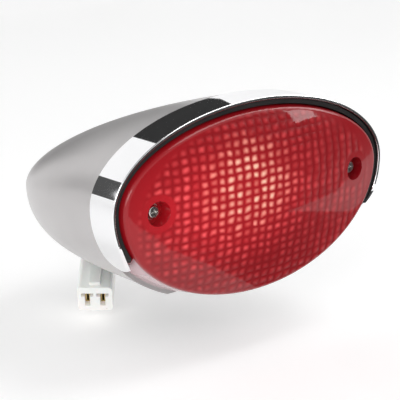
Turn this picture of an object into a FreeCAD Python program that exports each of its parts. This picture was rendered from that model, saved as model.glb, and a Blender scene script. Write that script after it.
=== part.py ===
"""Cat-eye tail light for a motorcycle: a teardrop shell with a chrome bezel, a red lens with a
clear number-plate window, a double-filament bayonet bulb, a reflector and a short lead.

Frame: the origin is the centre of the mounting pad's face, +Z is up, the lens faces -Y and
+X is to the right for someone who looks at the lens. Millimetres throughout.
"Depth" means the distance behind the plane of the bezel's front edge, towards +Y.
"""
import FreeCAD, Part
import math
import os

V = FreeCAD.Vector

# ---- overall sizes ----
LIP_WIDTH = 150.0       # across the bezel's front edge
LIP_UP = 37.4           # lens centre up to the bezel's front edge
LIP_DOWN = 50.8         # lens centre down to where that edge's ellipse would close
BODY_DEPTH = 115.0      # bezel's front edge back to the tip of the tail
LENS_Z = 43.5           # lens centre above the mounting face
FRONT = 55.0            # bezel's front edge ahead of the mounting face's centre

# ---- shell ----
BEZEL_STEP = 0.5        # the bezel stands proud of the shell by this much
SHELL_WALL = 2.6
FLOOR_THICK = 3.5
TIP_DROP = 14.9         # the tail's tip below the lens centre
PLAN_POWER = 2.94       # how full the shell is seen from above
TOP_POWER = 1.05        # how early its top line falls
UNDER_POWER = 6.0       # how late its underside rises
SHELL_FRONT = 7.4       # depth of the shell's front edge under the bezel
SHELL_LOW_FRONT = 12.3  # depth of its front edge under the clear window
SHELL_STEP_LIFT = 0.5   # the step between the two is this much above the window's start

# ---- bezel ----
BEZEL_WALL = 1.5
BEZEL_DEPTH = 15.4
BEZEL_CURL_DROP = 11.0  # where its front edge starts to curl back, below the lens centre
BEZEL_CURL = 5.0        # how far the front edge has curled back at the tongue's end
BEZEL_TONGUE_DROP = 25.5  # the tongue's end below the lens centre
BEZEL_TONGUE_FALL = 3.0   # how much further down the tongue reaches at the rear edge
BEZEL_CORNER = 6.0
BEZEL_LIP_ROUND = 0.5

# ---- lens, gasket and clear window ----
CREST_INSET = 5.0       # the lens's front edge inside the bezel's ellipse
CREST_AHEAD = 1.2       # and ahead of its plane
DOME_RISE = 6.0
LENS_WALL = 2.4
LENS_DRAFT = 0.2        # its side walls open out by this much per millimetre of depth
CREST_ROUND = 2.2
FLANGE_INSET = 2.4
FLANGE_FRONT = 5.0
FLANGE_BACK = 7.0
GASKET_GAP = 0.35
GASKET_FRONT = 1.3
GASKET_BACK = 4.9
WINDOW_BACK = 12.0
WINDOW_DROP = 18.0      # the window begins this far below the lens centre, at the lip's plane
WINDOW_FALL = 0.8       # and lower by this much per millimetre of depth
WINDOW_END_WALL = 1.5
WINDOW_SILL_DROP = 40.6 # top of the window's rear wall below the lens centre

# ---- lens screws ----
SCREW_X = 54.8
SCREW_DROP = 1.3
SCREW_R = 1.5
SCREW_LENGTH = 22.0
SCREW_HEAD_R = 2.8
SCREW_HEAD_HEIGHT = 2.0
SCREW_HEAD_ROUND = 0.9
CROSS_SLOT = (3.4, 0.8, 1.2)  # length, width and depth of each slot of the cross
SCREW_CLEARANCE = 0.2
THREAD_CLEARANCE = 0.05
POCKET_R = 5.2
POCKET_FLOOR = 2.2      # depth of the pocket's floor
POCKET_WALL = 1.6
LENS_POST_R = 3.8
WASHER_R = 3.5
WASHER_THICK = 0.5
SEAT_GAP = 0.05
BOSS_R = 4.5
BOSS_LENGTH = 21.0
WEB_THICK = 5.0

# ---- reflector ----
SPLIT_GAP = 0.3         # between the lens's pieces and the housing's
REFLECTOR_INSET = 6.1
REFLECTOR_WALL = 1.6
REFLECTOR_SILL_DROP = 38.0
BULB_DROP = 2.0         # the bulb's axis below the lens centre
BOWL_MOUTH_R = 31.0
BOWL_FLOOR_R = 15.7
BOWL_FLOOR_DEPTH = 33.0

# ---- bulb and socket ----
BULB_TIP = 9.0
GLASS_R = 12.5
GLASS_NECK_R = 7.0
GLASS_WALL = 0.8
CAP_R = 7.6
CAP_WALL = 0.5
CAP_FRONT = 38.5
CAP_BACK = 55.0
CONTACT_OUT = 0.8
CONTACT_R = 1.7
CONTACT_X = 3.9
CAP_OVERLAP = 3.0       # the glass neck reaches this far into the cap
INSULATOR_DEPTH = 4.0
INSULATOR_PROUD = 1.6   # of the cap's rear rim
PINCH_LENGTH = 12.0     # glass pinch inside the bulb, from the neck's end forwards
PINCH_WIDTH = 8.0
PINCH_THICK = 2.4
POST_R = 0.3
POST_XS = (-3.5, -1.2, 1.2, 3.5)
FILAMENT_R = 0.5
FILAMENT_AHEAD = 1.0    # of the globe's centre
PIN_R = 1.0
PIN_OUT = 1.1
PIN_ROOT = 0.4          # how far each pin reaches inside the cap's wall
PIN_DEPTHS = (46.0, 49.0)
SOCKET_GAP = 0.35
SOCKET_WALL = 0.8
SOCKET_BACK = 67.0
CARRIER_GAP = 0.3
PLUNGER_RISE = 0.8      # the plungers' faces stand ahead of the carrier
PLUNGER_R = 1.5
PLUNGER_FACE_R = 1.9
CARRIER_THICK = 3.6
CARRIER_TRAVEL = 2.0
BULB_TURN = 25.0
SLOT_MARGIN = 0.5       # clear room round a bayonet pin
SPRING_WIRE_R = 0.45
SPRING_COIL_R = 5.6
SPRING_TURNS = 3.0
SPRING_ARCS = 18        # the coil is a chain of this many short arcs
SOCKET_FLANGE_R = 14.5
SOCKET_FLANGE_THICK = 1.2
RIVET_R = 1.5
RIVET_X = 11.9
RIVET_HEAD_R = 2.55     # small enough to clear the bulb when it is pressed home
RIVET_HEAD_THICK = 0.7
RIVET_TAIL_R = 2.4
BOOT_WALL = 1.7
BOOT_FRONT = 60.0
BOOT_NOSE_LENGTH = 9.0
SPRING_SEAT_GAP = 0.05

# ---- mounting ----
PAD_THICK = 2.0
PAD_PROUD = 0.5         # below the shell's underside
PAD_HALF_WIDTH = 24.0
PAD_HALF_LENGTH = 30.0
PAD_CORNER = 12.0
PAD_FIT = 0.3
PLATE_HALF_WIDTH = 19.0
PLATE_HALF_LENGTH = 29.0
PLATE_CORNER = 4.0
PLATE_THICK = 3.0
BOLT_SPACING = 44.0
THREAD_R = 2.5          # minor radius of the M6 thread
BOLT_CLEAR_R = 3.4      # bolt hole in the shell's floor
PAD_HOLE_EXTRA = 0.4    # the pad's holes are larger, and the plate's smaller
PLATE_HOLE_LESS = 0.2
NUT_FLATS = 10.0
NUT_HEIGHT = 5.0
FIX_X = 13.0            # the two screws that hold the plate to the floor
FIX_R = 2.0
FIX_HEAD_R = 3.8
FIX_HEAD_HEIGHT = 2.4
FIX_HEAD_ROUND = 1.0

# ---- lead and connector ----
SLEEVE_R = 1.75
GROMMET_X = -16.5
GROMMET_Y = 37.5
GROMMET_HOLE_R = 3.6
GROMMET_FLANGE_R = 4.8
GROMMET_LIP = 1.0
GROMMET_BORE_GAP = 0.1  # round the sleeve
LEAD_SPLIT_Z = 4.0      # where the run inside the shell meets the free run
INNER_ROUTE = [
    (0, 24, 41.5),
    (0, 34, 39.8),
    (-5.5, 40.5, 32),
    (-12, 42, 22.5),
    (-16.5, 37.5, 13),
    (-16.5, 37.5, 4),
]
FREE_ROUTE = [
    (-16.5, 37.5, 4),
    (-16.5, 37.5, -5),
    (-22.5, 42.3, -14.4),
    (-14.2, 52.0, -29.5),
    (-4.8, 63.9, -24.5),
    (-2.2, 65.7, -11.7),
    (-4.6, 56.2, -2.8),
    (-10.2, 44.8, -6.2),
]
CONNECTOR_FACE = V(-31.5, 20, -21.2)  # centre of the connector's open face
CONNECTOR_TURN = 40.0   # its heading, from -Y towards -X
CONNECTOR_DIP = 22.0    # its fall below level
CONNECTOR_WIDTH = 16.0
CONNECTOR_HEIGHT = 14.0
CONNECTOR_LENGTH = 22.0
CONNECTOR_ROUND = 2.0
CAVITY_PITCH = 7.0
CAVITY_DEPTH = 17.0
CAVITY_BAR = (5.6, 2.0)
CAVITY_STEM = (2.4, 7.4)
CAVITY_TOP = 3.4        # top of the T-shaped cavities above the connector's axis
TERMINAL_BACK = 3.0     # terminals sit this far inside the face
TERMINAL_END = 15.0
TERMINAL_THICK = 0.6
TERMINAL_GAP = 0.1
LATCH = (5.0, 13.0, 1.4)  # width, length and height of the latch on top
LATCH_BACK = 2.0        # behind the face
WIRE_HOLE_GAP = 0.3
WIRE_SEAT = 4.0         # the wires reach this far into the connector
WIRE_KNEE = 1.5         # and turn this far behind it
WIRE_R = 0.85
WIRE_LENGTH = 6.0
WIRE_GAP = 2.1


# ---------------------------------------------------------------- helpers
def at(depth):
    """World Y of a depth behind the bezel's front edge."""
    return depth - FRONT


def half_ellipse(centre, half_width, height, upper):
    """Half an ellipse from +X over the top to -X, or from -X under the bottom to +X."""
    sign = 1 if upper else -1
    side = centre + V(sign * half_width, 0, 0)
    crown = centre + V(0, 0, sign * height)
    if half_width >= height:
        return Part.ArcOfEllipse(Part.Ellipse(side, crown, centre), 0, math.pi).toShape()
    other = centre - V(sign * half_width, 0, 0)
    return Part.ArcOfEllipse(Part.Ellipse(crown, other, centre), -math.pi / 2, math.pi / 2).toShape()


def oval(half_width, up, down, depth, drop=0.0):
    """Closed outline made of two half-ellipses that share their width."""
    centre = V(0, at(depth), LENS_Z - drop)
    top = half_ellipse(centre, half_width, up, True)
    bottom = half_ellipse(centre, half_width, down, False)
    return Part.Wire([top, bottom])


def lip_oval(inset, depth):
    return oval(LIP_WIDTH / 2 - inset, LIP_UP - inset, LIP_DOWN - inset, depth)


def lip_prism(inset, front, back):
    return Part.Face(lip_oval(inset, front)).extrude(V(0, back - front, 0))


def lip_ring(outer_inset, inner_inset, front, back):
    return lip_prism(outer_inset, front, back).cut(lip_prism(inner_inset, front, back))


def lip_taper(front_inset, front, back_inset, back):
    return Part.makeLoft([lip_oval(front_inset, front), lip_oval(back_inset, back)], True, True)


def room(z_low, z_high, depth_front=-40.0, depth_back=300.0):
    """A wide block between two heights and two depths, for trimming."""
    wide = 2 * LIP_WIDTH
    corner = V(-wide / 2, at(depth_front), z_low)
    return Part.makeBox(wide, depth_back - depth_front, z_high - z_low, corner)


def above(z):
    return room(z, z + 4 * LIP_WIDTH)


def below(z):
    return room(z - 4 * LIP_WIDTH, z)


def rod(x, z, front, back, radius):
    """Cylinder along Y between two depths."""
    return Part.makeCylinder(radius, back - front, V(x, at(front), z), V(0, 1, 0))


def tube(x, z, front, back, outer_r, inner_r):
    return rod(x, z, front, back, outer_r).cut(rod(x, z, front, back, inner_r))


def turned(points, z):
    """Solid turned about the Y axis at height z from (radius, depth) points."""
    outline = [V(r, at(depth), z) for r, depth in points]
    face = Part.Face(Part.makePolygon(outline + outline[:1]))
    return face.revolve(V(0, 0, z), V(0, 1, 0), 360)


def rounded_plate(half_width, half_length, corner, z_low, z_high):
    block = Part.makeBox(2 * half_width, 2 * half_length, z_high - z_low, V(-half_width, -half_length, z_low))
    upright = [e for e in block.Edges if abs(e.Vertexes[0].Z - e.Vertexes[-1].Z) > 0.5 * (z_high - z_low)]
    return block.makeFillet(corner, upright)


def drill(x, y, z_low, z_high, radius):
    return Part.makeCylinder(radius, z_high - z_low, V(x, y, z_low))


def group(solids):
    return solids[0] if len(solids) == 1 else Part.Compound(solids)


def tangent_route(points):
    """Straight runs joined by tangent arcs, as one wire; returns the wire and the arcs' radii."""
    pts = [V(*p) for p in points]
    edges, radii, start = [], [], pts[0]
    for before, corner, after in zip(pts, pts[1:], pts[2:]):
        inward = (corner - before).normalize()
        outward = (after - corner).normalize()
        turn = inward.getAngle(outward)
        shorter = min((corner - before).Length, (after - corner).Length)
        cut_back = 0.45 * shorter
        radius = cut_back / math.tan(turn / 2)
        enter = corner - inward * cut_back
        leave = corner + outward * cut_back
        middle_way = (outward - inward).normalize()
        middle = corner + middle_way * (radius / math.cos(turn / 2) - radius)
        edges.append(Part.LineSegment(start, enter).toShape())
        edges.append(Part.Arc(enter, middle, leave).toShape())
        radii.append(radius)
        start = leave
    edges.append(Part.LineSegment(start, pts[-1]).toShape())
    return Part.Wire(edges), radii


def sleeve_along(name, points):
    """Round sleeve along a route, with its radii and its volume checked in print."""
    wire, radii = tangent_route(points)
    first, second = V(*points[0]), V(*points[1])
    ring = Part.Wire([Part.makeCircle(SLEEVE_R, first, second - first)])
    solid = wire.makePipeShell([ring], True, True)
    expected = math.pi * SLEEVE_R**2 * wire.Length
    print(name, "length", round(wire.Length, 1), "radii", [round(r, 1) for r in radii],
          "volume ratio", round(solid.Volume / expected, 4))
    return solid


# ---------------------------------------------------------------- shell and bezel
def teardrop(inset):
    """The shell's outer form, drawn in by an inset: ovals that shrink to the tail's tip."""
    length = BODY_DEPTH - inset - BEZEL_DEPTH
    half_width = LIP_WIDTH / 2 - BEZEL_STEP - inset
    top = LIP_UP - BEZEL_STEP - inset
    bottom = -(LIP_DOWN - BEZEL_STEP - inset)
    stations = 9
    sections = []
    for i in range(stations):
        share = math.sin(math.pi / 2 * i / stations)
        width = half_width * math.sqrt(1 - share**PLAN_POWER)
        crown = -TIP_DROP + (top + TIP_DROP) * math.sqrt(1 - share**TOP_POWER)
        keel = -TIP_DROP + (bottom + TIP_DROP) * math.sqrt(1 - share**UNDER_POWER)
        middle = -TIP_DROP * share**2
        sections.append(oval(width, crown - middle, middle - keel, BEZEL_DEPTH + share * length, -middle))
    tip = Part.Vertex(V(0, at(BEZEL_DEPTH + length), LENS_Z - TIP_DROP))
    tail = Part.makeLoft(sections + [tip], True, False)
    return tail.fuse(lip_prism(BEZEL_STEP + inset, 0, BEZEL_DEPTH))


def bezel_keep():
    """Side profile that the bezel is trimmed to: its front edge curls back to a rounded tongue."""
    high = LENS_Z + LIP_UP + 10
    curl_z = LENS_Z - BEZEL_CURL_DROP
    tongue_z = LENS_Z - BEZEL_TONGUE_DROP
    back_z = tongue_z - BEZEL_TONGUE_FALL
    ahead = 5.0
    x = -LIP_WIDTH
    drop = curl_z - tongue_z
    curl_r = (drop**2 + BEZEL_CURL**2) / (2 * BEZEL_CURL)
    half_angle = math.asin(drop / curl_r) / 2
    bulge = V(x, at(curl_r - curl_r * math.cos(half_angle)), curl_z - curl_r * math.sin(half_angle))
    curl_start = V(x, at(0), curl_z)
    tongue = V(x, at(BEZEL_CURL), tongue_z)
    rest = [
        tongue,
        V(x, at(BEZEL_DEPTH), back_z),
        V(x, at(BEZEL_DEPTH), high),
        V(x, at(-ahead), high),
        V(x, at(-ahead), curl_z),
        curl_start,
    ]
    edges = [Part.Arc(curl_start, bulge, tongue).toShape()]
    edges += [Part.LineSegment(a, b).toShape() for a, b in zip(rest, rest[1:])]
    block = Part.Face(Part.Wire(edges)).extrude(V(2 * LIP_WIDTH, 0, 0))
    low_back = [e for e in block.Edges
                if abs(e.CenterOfMass.y - at(BEZEL_DEPTH)) < 1e-6 and abs(e.CenterOfMass.z - back_z) < 1e-6]
    return block.makeFillet(BEZEL_CORNER, low_back)


def chrome_bezel():
    band = lip_ring(0, BEZEL_WALL, 0, BEZEL_DEPTH)
    front = [e for e in band.Edges if abs(e.CenterOfMass.y - at(0)) < 1e-6 and e.Length > LIP_UP]
    return band.makeFillet(BEZEL_LIP_ROUND, front).common(bezel_keep())


def boss(side):
    """Screw boss and the web that ties it to the shell's side wall."""
    x, z = side * SCREW_X, LENS_Z - SCREW_DROP
    front = FLANGE_BACK + SPLIT_GAP + REFLECTOR_WALL
    back = front + BOSS_LENGTH
    post = rod(x, z, front, back, BOSS_R)
    reach = LIP_WIDTH / 2
    web = Part.makeBox(reach, back - front, WEB_THICK, V(min(x, x + side * reach), at(front), z - WEB_THICK / 2))
    return post.fuse(web)


def housing_shell():
    base_z = PAD_PROUD
    floor_top = base_z + FLOOR_THICK
    outside = teardrop(0).common(above(base_z))
    inside = teardrop(SHELL_WALL).common(above(floor_top))
    bosses = boss(-1).fuse(boss(1)).common(teardrop(SHELL_WALL / 2))
    shell = outside.cut(inside).fuse(bosses)
    shell = shell.cut(room(-LIP_WIDTH, LIP_WIDTH, -40, SHELL_FRONT))
    low_edge = LENS_Z - WINDOW_DROP - WINDOW_FALL * SHELL_FRONT + SHELL_STEP_LIFT
    shell = shell.cut(room(-LIP_WIDTH, low_edge, -40, SHELL_LOW_FRONT))
    bezel_room = lip_prism(-4, -1, BEZEL_DEPTH).cut(lip_prism(BEZEL_WALL, -1, BEZEL_DEPTH))
    shell = shell.cut(bezel_room.common(bezel_keep()))
    shell = shell.cut(pad_form(PAD_FIT, 0, PAD_THICK))
    for y in (-BOLT_SPACING / 2, BOLT_SPACING / 2):
        shell = shell.cut(drill(0, y, 0, floor_top + 1, BOLT_CLEAR_R))
    for x in (-FIX_X, FIX_X):
        shell = shell.cut(drill(x, 0, PAD_THICK, floor_top + 1, FIX_R))
    for side in (-1, 1):
        hole = rod(side * SCREW_X, LENS_Z - SCREW_DROP, 0, BOSS_LENGTH + 40, SCREW_R + THREAD_CLEARANCE)
        shell = shell.cut(hole)
    shell = shell.cut(drill(GROMMET_X, GROMMET_Y, 0, floor_top + 1, GROMMET_HOLE_R))
    return shell.removeSplitter()


# ---------------------------------------------------------------- lens group
def dome(inset, shift):
    """Low dome on the lens's front edge, from its crest plane to its crown."""
    sections = []
    for scale in (1.0, 0.88, 0.7, 0.48, 0.24):
        wide = (LIP_WIDTH / 2 - inset) * scale
        up = (LIP_UP - inset) * scale
        down = (LIP_DOWN - inset) * scale
        depth = shift - CREST_AHEAD - DOME_RISE * (1 - scale**2)
        sections.append(oval(wide, up, down, depth))
    crown = Part.Vertex(V(0, at(shift - CREST_AHEAD - DOME_RISE), LENS_Z))
    return Part.makeLoft(sections + [crown], True, False)


def wall_inset(depth):
    """How far the lens's drafted side wall is inside the bezel's ellipse at a depth."""
    return CREST_INSET - LENS_DRAFT * (depth + CREST_AHEAD)


def lens_blank():
    """Outer form of the lens and the window together, with the front edge rounded."""
    walls = lip_taper(CREST_INSET, -CREST_AHEAD, wall_inset(WINDOW_BACK), WINDOW_BACK)
    blank = dome(CREST_INSET, 0).fuse(walls).removeSplitter()
    crest = [e for e in blank.Edges if abs(e.CenterOfMass.y - at(-CREST_AHEAD)) < 1e-3 and e.Length > LIP_UP]
    return blank.makeFillet(CREST_ROUND, crest)


def lens_hollow():
    inner = CREST_INSET + LENS_WALL
    back = wall_inset(WINDOW_BACK) + LENS_WALL
    walls = lip_taper(inner - LENS_DRAFT * LENS_WALL, LENS_WALL - CREST_AHEAD, back, WINDOW_BACK)
    return dome(inner, LENS_WALL).fuse(walls)


def under_slope():
    """Everything below the sloping line where the clear window takes over from the red lens."""
    wide, far = 2 * LIP_WIDTH, 3 * LIP_WIDTH
    x = -wide / 2
    start = LENS_Z - WINDOW_DROP
    front, back = -40.0, 60.0
    corners = [
        V(x, at(front), start - WINDOW_FALL * front),
        V(x, at(back), start - WINDOW_FALL * back),
        V(x, at(back), -far),
        V(x, at(front), -far),
    ]
    return Part.Face(Part.makePolygon(corners + corners[:1])).extrude(V(wide, 0, 0))


def pocket_cut(side):
    z = LENS_Z - SCREW_DROP
    return rod(side * SCREW_X, z, -40, POCKET_FLOOR, POCKET_R)


def lens_hole(side):
    z = LENS_Z - SCREW_DROP
    return rod(side * SCREW_X, z, -40, 40, SCREW_R + SCREW_CLEARANCE)


def pocket_well(side):
    """Wall round the screw's pocket, its floor, and the post that reaches back to the reflector."""
    x, z = side * SCREW_X, LENS_Z - SCREW_DROP
    floor_back = POCKET_FLOOR + LENS_WALL
    well = rod(x, z, -CREST_AHEAD - DOME_RISE, floor_back, POCKET_R + POCKET_WALL)
    within = lens_blank()
    post = rod(x, z, POCKET_FLOOR, FLANGE_BACK, LENS_POST_R)
    return well.common(within).fuse(post)


def red_lens():
    glazed = lens_blank().cut(lens_hollow())
    face = glazed.cut(room(-LIP_WIDTH, 2 * LIP_WIDTH, LENS_WALL - CREST_AHEAD))
    wall = glazed.cut(room(-LIP_WIDTH, 2 * LIP_WIDTH, FLANGE_FRONT)).cut(under_slope())
    root = wall_inset(FLANGE_FRONT)
    flange = lip_ring(FLANGE_INSET, root + LENS_WALL, FLANGE_FRONT, FLANGE_BACK).cut(under_slope())
    lens = face.fuse(wall).fuse(flange)
    for side in (-1, 1):
        lens = lens.fuse(pocket_well(side)).cut(pocket_cut(side)).cut(lens_hole(side))
    return lens.removeSplitter()


def plate_window():
    glazed = lens_blank().cut(lens_hollow())
    skirt = glazed.cut(room(-LIP_WIDTH, 2 * LIP_WIDTH, -40, LENS_WALL - CREST_AHEAD))
    end_front = WINDOW_BACK - WINDOW_END_WALL
    end_wall = lip_prism(wall_inset(end_front) + LENS_WALL / 2, end_front, WINDOW_BACK)
    end_wall = end_wall.common(below(LENS_Z - WINDOW_SILL_DROP))
    return skirt.common(under_slope()).fuse(end_wall).removeSplitter()


def lens_gasket():
    ring = lip_ring(BEZEL_WALL + GASKET_GAP, wall_inset(GASKET_BACK), GASKET_FRONT, GASKET_BACK)
    return ring.cut(under_slope())


def lens_screw(side):
    x, z = side * SCREW_X, LENS_Z - SCREW_DROP
    seat = POCKET_FLOOR - WASHER_THICK - SEAT_GAP
    shank = rod(x, z, seat, seat + SCREW_LENGTH, SCREW_R)
    head = rod(x, z, seat - SCREW_HEAD_HEIGHT, seat, SCREW_HEAD_R)
    crown = [e for e in head.Edges if abs(e.CenterOfMass.y - at(seat - SCREW_HEAD_HEIGHT)) < 1e-6]
    head = head.makeFillet(SCREW_HEAD_ROUND, crown)
    slot_long, slot_wide, slot_depth = CROSS_SLOT
    top = at(seat - SCREW_HEAD_HEIGHT)
    across = Part.makeBox(slot_long, slot_depth, slot_wide, V(x - slot_long / 2, top, z - slot_wide / 2))
    upright = Part.makeBox(slot_wide, slot_depth, slot_long, V(x - slot_wide / 2, top, z - slot_long / 2))
    return head.fuse(shank).cut(across.fuse(upright))


def screw_washers():
    front = POCKET_FLOOR - WASHER_THICK
    z = LENS_Z - SCREW_DROP
    return group([tube(s * SCREW_X, z, front, POCKET_FLOOR, WASHER_R, SCREW_R + SCREW_CLEARANCE) for s in (-1, 1)])


# ---------------------------------------------------------------- reflector, socket and bulb
def bulb_z():
    return LENS_Z - BULB_DROP


def reflector_front():
    return FLANGE_BACK + SPLIT_GAP


def bowl_profile(grow, steps=6):
    """(radius, depth) points of the bowl's parabola, from its mouth to its flat floor."""
    mouth_depth = reflector_front()
    focal = (BOWL_MOUTH_R**2 - BOWL_FLOOR_R**2) / (4 * (BOWL_FLOOR_DEPTH - mouth_depth))
    apex = BOWL_FLOOR_DEPTH + BOWL_FLOOR_R**2 / (4 * focal)
    points = []
    for i in range(steps + 1):
        radius = BOWL_MOUTH_R + (BOWL_FLOOR_R - BOWL_MOUTH_R) * i / steps
        points.append((radius + grow, apex - radius**2 / (4 * focal) + grow))
    return points


def bowl_solid(grow):
    """The space inside the bowl, or with a wall's growth, the bowl's outer form."""
    mouth = reflector_front()
    curve = bowl_profile(grow)
    points = [V(r, at(depth), bulb_z()) for r, depth in curve]
    spline = Part.BSplineCurve()
    spline.interpolate(points)
    axis_back = V(0, at(curve[-1][1]), bulb_z())
    axis_front = V(0, at(mouth), bulb_z())
    first = V(curve[0][0], at(mouth), bulb_z())
    edges = [
        Part.LineSegment(axis_front, first).toShape(),
        spline.toShape(),
        Part.LineSegment(points[-1], axis_back).toShape(),
        Part.LineSegment(axis_back, axis_front).toShape(),
    ]
    if (first - points[0]).Length > 1e-6:
        edges.insert(1, Part.LineSegment(first, points[0]).toShape())
    face = Part.Face(Part.Wire(edges))
    return face.revolve(V(0, 0, bulb_z()), V(0, 1, 0), 360)


def reflector():
    front = reflector_front()
    plate = lip_prism(REFLECTOR_INSET, front, front + REFLECTOR_WALL)
    plate = plate.common(above(LENS_Z - REFLECTOR_SILL_DROP))
    bowl = bowl_solid(REFLECTOR_WALL)
    piece = plate.fuse(bowl).cut(bowl_solid(0))
    floor_back = BOWL_FLOOR_DEPTH + REFLECTOR_WALL
    piece = piece.cut(rod(0, bulb_z(), front, floor_back + 1, CAP_R + SOCKET_GAP + SOCKET_WALL + 0.2))
    for side in (-1, 1):
        piece = piece.cut(rod(side * SCREW_X, LENS_Z - SCREW_DROP, front - 1, front + 5, SCREW_R + 0.5))
        piece = piece.cut(rod(side * RIVET_X, bulb_z(), front, floor_back + 1, RIVET_R))
    return piece.removeSplitter()


def socket_front():
    return BOWL_FLOOR_DEPTH + REFLECTOR_WALL


def sector(outer_r, front, back, start, end):
    """Wedge about the bulb's axis, between two turns counted from +X by the right hand about +Y."""
    wedge = Part.makeCylinder(outer_r, back - front, V(0, 0, 0), V(0, 0, 1), end - start)
    wedge.rotate(V(0, 0, 0), V(1, 0, 0), -90)
    wedge.rotate(V(0, 0, 0), V(0, 1, 0), start)
    wedge.translate(V(0, at(front), bulb_z()))
    return wedge


def socket_shell():
    """Tube with a J-shaped slot for each bayonet pin; its front end is turned out as a flange."""
    inner = CAP_R + SOCKET_GAP
    outer = inner + SOCKET_WALL
    front = socket_front()
    z = bulb_z()
    shell = rod(0, z, front, SOCKET_BACK, outer).cut(rod(0, z, front, SOCKET_BACK - SOCKET_WALL, inner))
    shell = shell.fuse(tube(0, z, front, front + SOCKET_FLANGE_THICK, SOCKET_FLANGE_R, inner))
    shell = shell.cut(rod(0, z, SOCKET_BACK - 2, SOCKET_BACK + 1, inner / 2))
    half_turn = math.degrees((PIN_R + SLOT_MARGIN) / inner)
    for start, depth in zip((0, 180), PIN_DEPTHS):
        low = depth - PIN_R - SLOT_MARGIN
        high = depth + PIN_R + SLOT_MARGIN + CARRIER_TRAVEL
        seat = sector(outer + 1, low, high, start - half_turn, start + BULB_TURN + half_turn)
        entry = sector(outer + 1, front + SOCKET_FLANGE_THICK, high, start + BULB_TURN - half_turn,
                       start + BULB_TURN + half_turn)
        shell = shell.cut(seat).cut(entry)
        mouth = sector(inner + PIN_OUT, front - 1, front + SOCKET_FLANGE_THICK + 1,
                       start + BULB_TURN - half_turn, start + BULB_TURN + half_turn)
        shell = shell.cut(mouth)
    for side in (-1, 1):
        shell = shell.cut(rod(side * RIVET_X, z, front - 1, front + 3, RIVET_R))
    return shell


def socket_rivets():
    front = BOWL_FLOOR_DEPTH
    back = front + REFLECTOR_WALL + SOCKET_FLANGE_THICK
    pieces = []
    for side in (-1, 1):
        x, z = side * RIVET_X, bulb_z()
        shank = rod(x, z, front, back, RIVET_R)
        head = rod(x, z, front - RIVET_HEAD_THICK, front, RIVET_HEAD_R)
        tail = rod(x, z, back, back + RIVET_HEAD_THICK, RIVET_TAIL_R)
        pieces.append(shank.fuse(head).fuse(tail))
    return group(pieces)


def bulb_glass():
    z = bulb_z()
    centre = BULB_TIP + GLASS_R
    back = CAP_FRONT + CAP_OVERLAP
    outer = Part.makeSphere(GLASS_R, V(0, at(centre), z)).fuse(rod(0, z, centre, back, GLASS_NECK_R))
    inner_r = GLASS_R - GLASS_WALL
    hollow = Part.makeSphere(inner_r, V(0, at(centre), z))
    hollow = hollow.fuse(rod(0, z, centre, back - GLASS_WALL, GLASS_NECK_R - GLASS_WALL))
    return outer.cut(hollow)


def bulb_cap():
    z = bulb_z()
    cap = tube(0, z, CAP_FRONT, CAP_BACK - INSULATOR_PROUD, CAP_R, CAP_R - CAP_WALL)
    for x, depth in zip((CAP_R, -CAP_R), PIN_DEPTHS):
        direction = V(1 if x > 0 else -1, 0, 0)
        start = V(x - direction.x * (CAP_WALL + PIN_ROOT), at(depth), z)
        cap = cap.fuse(Part.makeCylinder(PIN_R, PIN_OUT + CAP_WALL + PIN_ROOT, start, direction))
    return cap


def bulb_insulator():
    z = bulb_z()
    return rod(0, z, CAP_BACK - INSULATOR_DEPTH, CAP_BACK, CAP_R - CAP_WALL)


def bulb_contacts():
    pieces = []
    for x in (-CONTACT_X, CONTACT_X):
        pad = rod(x, bulb_z(), CAP_BACK, CAP_BACK + CONTACT_OUT, CONTACT_R)
        rim = [e for e in pad.Edges if abs(e.CenterOfMass.y - at(CAP_BACK + CONTACT_OUT)) < 1e-6]
        pieces.append(pad.makeFillet(0.5, rim))
    return group(pieces)


def stem_back():
    return CAP_FRONT + CAP_OVERLAP - GLASS_WALL


def filament_depth():
    return BULB_TIP + GLASS_R - FILAMENT_AHEAD


def bulb_stem():
    """Glass foot in the neck and the flat pinch that carries the filament posts."""
    z = bulb_z()
    back = stem_back()
    foot = rod(0, z, back - PINCH_LENGTH / 4, back, GLASS_NECK_R - GLASS_WALL)
    corner = V(-PINCH_WIDTH / 2, at(back - PINCH_LENGTH), z - PINCH_THICK / 2)
    return foot.fuse(Part.makeBox(PINCH_WIDTH, PINCH_LENGTH, PINCH_THICK, corner))


def bulb_posts():
    back = stem_back() - PINCH_LENGTH
    return group([rod(x, bulb_z(), filament_depth(), back, POST_R) for x in POST_XS])


def bulb_filaments():
    """Two coiled filaments, as the short cylinders that their coils fill."""
    pieces = []
    for first, last in (POST_XS[:2], POST_XS[2:]):
        start = V(first - POST_R, at(filament_depth()) - FILAMENT_R, bulb_z())
        pieces.append(Part.makeCylinder(FILAMENT_R, last - first + 2 * POST_R, start, V(1, 0, 0)))
    return group(pieces)


def carrier_front():
    return CAP_BACK + CONTACT_OUT + CARRIER_GAP + PLUNGER_RISE


def contact_carrier():
    front = carrier_front()
    z = bulb_z()
    disc = rod(0, z, front, front + CARRIER_THICK, CAP_R)
    for x in (-CONTACT_X, CONTACT_X):
        disc = disc.cut(rod(x, z, front, front + CARRIER_THICK, PLUNGER_R))
    return disc


def contact_plungers():
    front = carrier_front()
    pieces = []
    for x in (-CONTACT_X, CONTACT_X):
        stem = rod(x, bulb_z(), front, front + CARRIER_THICK, PLUNGER_R)
        face = rod(x, bulb_z(), front - PLUNGER_RISE, front, PLUNGER_FACE_R)
        pieces.append(stem.fuse(face))
    return group(pieces)


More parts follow.
